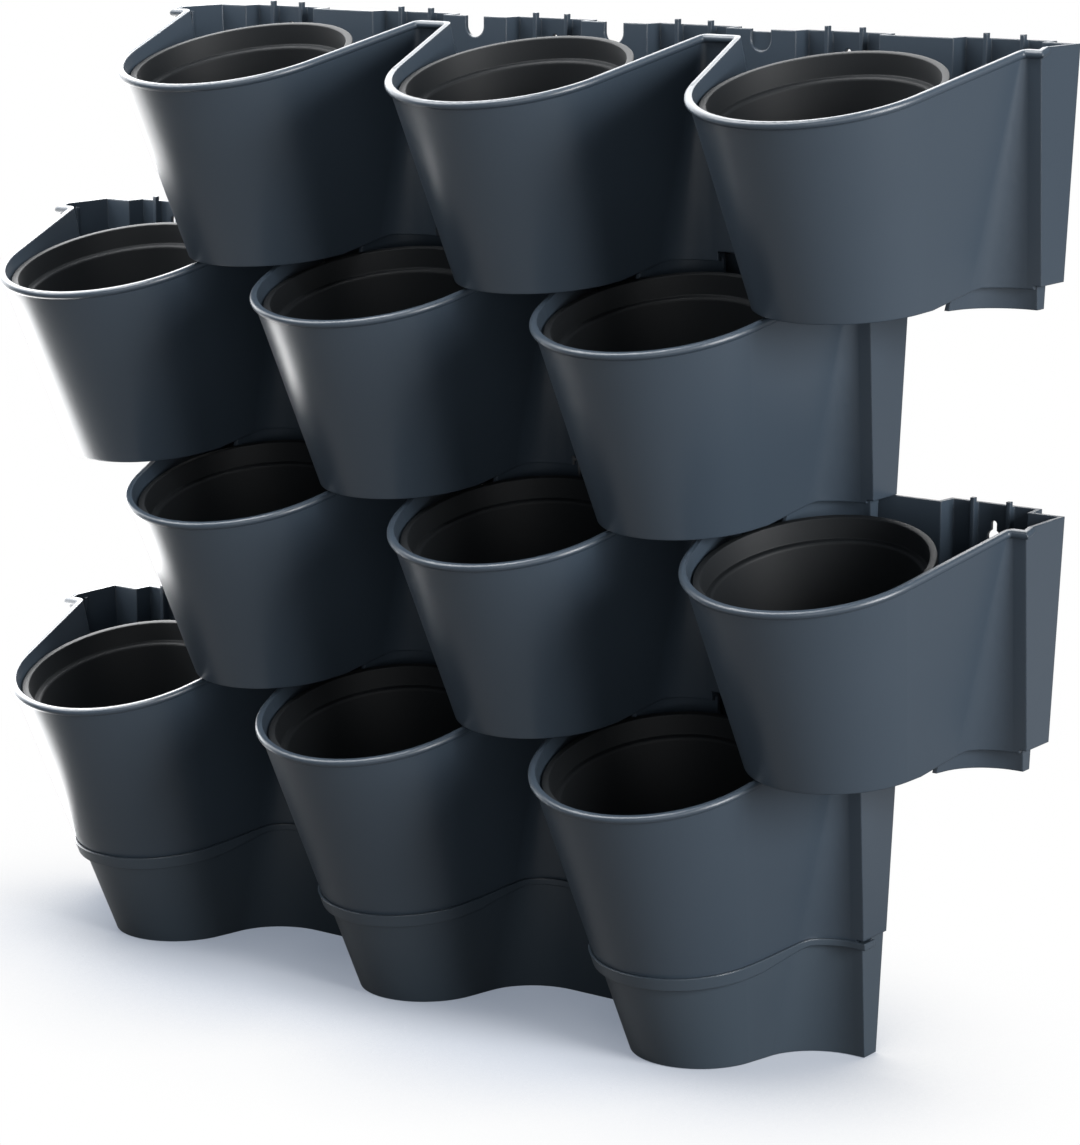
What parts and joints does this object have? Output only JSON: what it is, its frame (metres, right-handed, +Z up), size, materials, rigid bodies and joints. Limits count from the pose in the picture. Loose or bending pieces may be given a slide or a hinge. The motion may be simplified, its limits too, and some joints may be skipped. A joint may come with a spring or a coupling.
{
  "type": "vertical wall planter",
  "caption": "Staggered rows of leaning pot sleeves for a wall, with a loose round grow pot in each sleeve and a drip tray under the lowest row",
  "frame": {"origin": "middle of the wall screws of the top and the bottom row, on the wall plane", "axes": "+X along the rows, +Y into the wall, +Z up; the pots face -Y"},
  "size_m": [0.6909, 0.1765, 0.5706],
  "materials": {
    "sleeve": "satin anthracite",
    "liner": "matte black",
    "tray": "satin anthracite"
  },
  "bodies": {
    "hung_rows": {"sleeve_row_1": "sleeve", "sleeve_row_2": "sleeve", "sleeve_row_3": "sleeve", "sleeve_row_4": "sleeve"},
    "pot_row_1_left": {"liner_row_1_left": "liner"},
    "pot_row_1_middle": {"liner_row_1_middle": "liner"},
    "pot_row_1_right": {"liner_row_1_right": "liner"},
    "pot_row_2_left": {"liner_row_2_left": "liner"},
    "pot_row_2_middle": {"liner_row_2_middle": "liner"},
    "pot_row_2_right": {"liner_row_2_right": "liner"},
    "pot_row_3_left": {"liner_row_3_left": "liner"},
    "pot_row_3_middle": {"liner_row_3_middle": "liner"},
    "pot_row_3_right": {"liner_row_3_right": "liner"},
    "pot_row_4_left": {"liner_row_4_left": "liner"},
    "pot_row_4_middle": {"liner_row_4_middle": "liner"},
    "pot_row_4_right": {"liner_row_4_right": "liner"},
    "tray": {"drip_tray": "tray"}
  },
  "joints": [
    {"name": "lift_row_1_left", "type": "slide", "parent": "hung_rows", "child": "pot_row_1_left", "axis": [0, -0.2622, 0.965], "range_m": [0, 0.12]},
    {"name": "lift_row_1_middle", "type": "slide", "parent": "hung_rows", "child": "pot_row_1_middle", "axis": [0, -0.2622, 0.965], "range_m": [0, 0.12]},
    {"name": "lift_row_1_right", "type": "slide", "parent": "hung_rows", "child": "pot_row_1_right", "axis": [0, -0.2622, 0.965], "range_m": [0, 0.12]},
    {"name": "turn_row_2_left", "type": "hinge", "parent": "hung_rows", "child": "pot_row_2_left", "pos_m": [-0.24375, -0.07967, -0.04101], "axis": [0, -0.2622, 0.965], "continuous": true},
    {"name": "turn_row_2_middle", "type": "hinge", "parent": "hung_rows", "child": "pot_row_2_middle", "pos_m": [-0.04875, -0.07967, -0.04101], "axis": [0, -0.2622, 0.965], "continuous": true},
    {"name": "turn_row_2_right", "type": "hinge", "parent": "hung_rows", "child": "pot_row_2_right", "pos_m": [0.14625, -0.07967, -0.04101], "axis": [0, -0.2622, 0.965], "continuous": true},
    {"name": "turn_row_3_left", "type": "hinge", "parent": "hung_rows", "child": "pot_row_3_left", "pos_m": [-0.14625, -0.07967, -0.16501], "axis": [0, -0.2622, 0.965], "continuous": true},
    {"name": "turn_row_3_middle", "type": "hinge", "parent": "hung_rows", "child": "pot_row_3_middle", "pos_m": [0.04875, -0.07967, -0.16501], "axis": [0, -0.2622, 0.965], "continuous": true},
    {"name": "turn_row_3_right", "type": "hinge", "parent": "hung_rows", "child": "pot_row_3_right", "pos_m": [0.24375, -0.07967, -0.16501], "axis": [0, -0.2622, 0.965], "continuous": true},
    {"name": "turn_row_4_left", "type": "hinge", "parent": "hung_rows", "child": "pot_row_4_left", "pos_m": [-0.24375, -0.07967, -0.28901], "axis": [0, -0.2622, 0.965], "continuous": true},
    {"name": "turn_row_4_middle", "type": "hinge", "parent": "hung_rows", "child": "pot_row_4_middle", "pos_m": [-0.04875, -0.07967, -0.28901], "axis": [0, -0.2622, 0.965], "continuous": true},
    {"name": "turn_row_4_right", "type": "hinge", "parent": "hung_rows", "child": "pot_row_4_right", "pos_m": [0.14625, -0.07967, -0.28901], "axis": [0, -0.2622, 0.965], "continuous": true},
    {"name": "tray_drop", "type": "slide", "parent": "hung_rows", "child": "tray", "axis": [0, 0, -1], "range_m": [0, 0.06]}
  ]
}
